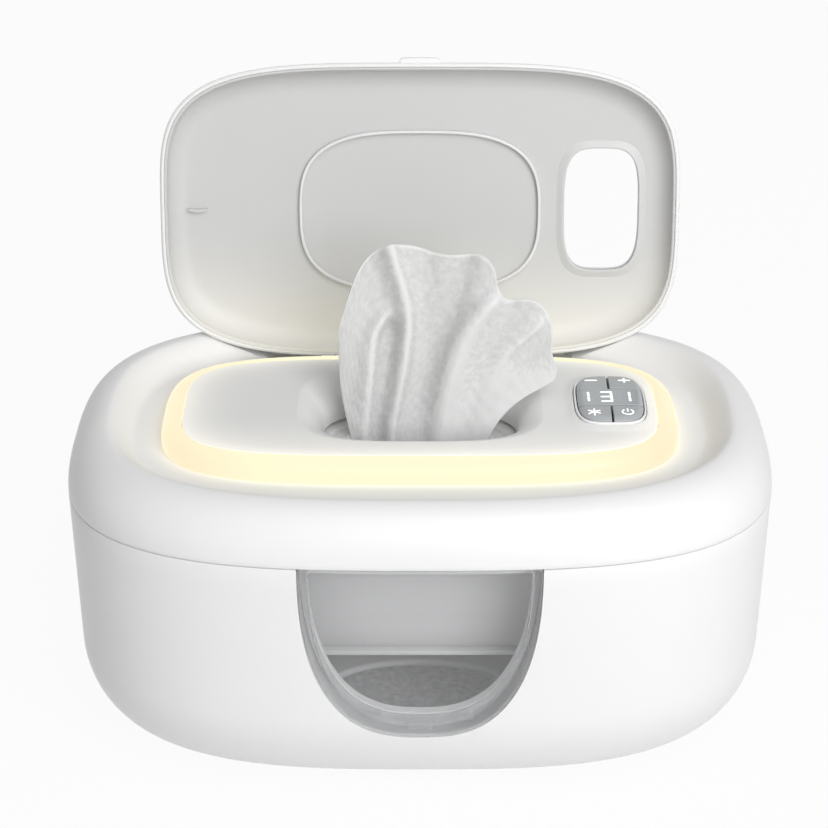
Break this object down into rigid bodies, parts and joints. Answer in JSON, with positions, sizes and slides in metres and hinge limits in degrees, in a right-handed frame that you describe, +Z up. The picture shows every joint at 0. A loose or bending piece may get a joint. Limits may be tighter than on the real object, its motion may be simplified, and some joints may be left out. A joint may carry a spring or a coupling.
{
  "type": "baby wipe warmer",
  "caption": "Rounded tabletop wet-wipe warmer with a flip lid over a dispensing funnel, a touch panel, a glowing night-light ring, a front window and a spring-lifted wipe stack.",
  "frame": {"origin": "on the table under the middle of the warmer, at the bottom of its feet", "axes": "+X to the right as seen from the front, +Y to the rear, where the hinges are, +Z up. At rest the main cover is shut and the lid stands open at its limit."},
  "size_m": [0.25, 0.1799, 0.2236],
  "materials": {
    "white_plastic": "smooth white moulding",
    "grey_plastic": "light grey moulding",
    "liner_grey": "pale grey moulding",
    "key_grey": "satin grey keys with white symbols",
    "display_window": "satin tinted window over lit digits",
    "display_black": "black display block",
    "light_ring": "milky diffuser, lit warm white",
    "clear_window": "clear moulded window",
    "soft_seal": "soft white silicone",
    "grey_rubber": "soft grey feet",
    "wipe_fabric": "moist non-woven sheets",
    "pad_felt": "grey moisture pad",
    "steel": "plain steel",
    "aluminium": "rolled sheet",
    "heater_film": "amber heating film",
    "circuit_green": "green circuit board",
    "circuit_white": "white circuit board with light emitters",
    "sensor_black": "black component bodies",
    "inlet_black": "black socket body"
  },
  "bodies": {
    "base": {"outer_bowl": "white_plastic", "base_plate": "white_plastic", "foot_front_left": "grey_rubber", "foot_front_right": "grey_rubber", "foot_rear_left": "grey_rubber", "foot_rear_right": "grey_rubber", "base_screw_front_left": "steel", "base_screw_front_right": "steel", "base_screw_rear_left": "steel", "base_screw_rear_right": "steel", "inner_tank": "grey_plastic", "window_pane": "clear_window", "window_seal": "soft_seal", "moisture_pad": "pad_felt", "power_inlet": "inlet_black", "heater_plate": "aluminium", "heater_film": "heater_film", "thermal_fuse": "steel", "temperature_sensor": "sensor_black", "main_board": "circuit_green", "cover_hinge_pin_left": "steel", "cover_hinge_pin_right": "steel", "lift_spring_front_left": "steel", "lift_spring_front_right": "steel", "lift_spring_rear_left": "steel", "lift_spring_rear_right": "steel"},
    "lift": {"lift_plate": "white_plastic", "wipe_pack": "wipe_fabric"},
    "cover": {"top_shell": "white_plastic", "light_ring": "light_ring", "led_board": "circuit_white", "deck_panel": "white_plastic", "dispensing_ring": "white_plastic", "under_cover": "white_plastic", "cover_seal": "soft_seal", "cover_screw_front_left": "steel", "cover_screw_front_right": "steel", "cover_screw_rear_left": "steel", "cover_screw_rear_right": "steel", "lid_hinge_pin_left": "steel", "lid_hinge_pin_right": "steel", "wipe_sheet": "wipe_fabric", "control_bezel": "white_plastic", "display_window": "display_window", "display_module": "display_black", "control_board": "circuit_green", "tact_switch_minus": "sensor_black", "tact_switch_plus": "sensor_black", "tact_switch_light": "sensor_black", "tact_switch_power": "sensor_black"},
    "button_minus": {"button_minus": "key_grey"},
    "button_plus": {"button_plus": "key_grey"},
    "button_light": {"button_light": "key_grey"},
    "button_power": {"button_power": "key_grey"},
    "lid": {"lid_shell": "white_plastic", "lid_liner": "liner_grey", "lid_seal": "soft_seal"}
  },
  "joints": [
    {"name": "cover_hinge", "type": "hinge", "parent": "base", "child": "cover", "pos_m": [0, 0.0888, 0.099], "axis": [-1, 0, 0], "range_deg": [0, 80]},
    {"name": "lid_hinge", "type": "hinge", "parent": "cover", "child": "lid", "pos_m": [0, 0.055, 0.1102], "axis": [1, 0, 0], "range_deg": [0, 100], "deforming": ["wipe_sheet"]},
    {"name": "button_minus_press", "type": "slide", "parent": "cover", "child": "button_minus", "axis": [0, 0, -1], "range_m": [0, 0.0006], "stiffness_N_per_m": 200},
    {"name": "button_plus_press", "type": "slide", "parent": "cover", "child": "button_plus", "axis": [0, 0, -1], "range_m": [0, 0.0006], "stiffness_N_per_m": 200},
    {"name": "button_light_press", "type": "slide", "parent": "cover", "child": "button_light", "axis": [0, 0, -1], "range_m": [0, 0.0006], "stiffness_N_per_m": 200},
    {"name": "button_power_press", "type": "slide", "parent": "cover", "child": "button_power", "axis": [0, 0, -1], "range_m": [0, 0.0006], "stiffness_N_per_m": 200},
    {"name": "lift_slide", "type": "slide", "parent": "base", "child": "lift", "axis": [0, 0, 1], "range_m": [0, 0.045], "stiffness_N_per_m": 50, "springref_m": 0.058, "deforming": ["wipe_pack", "lift_spring_front_left", "lift_spring_front_right", "lift_spring_rear_left", "lift_spring_rear_right"]}
  ]
}
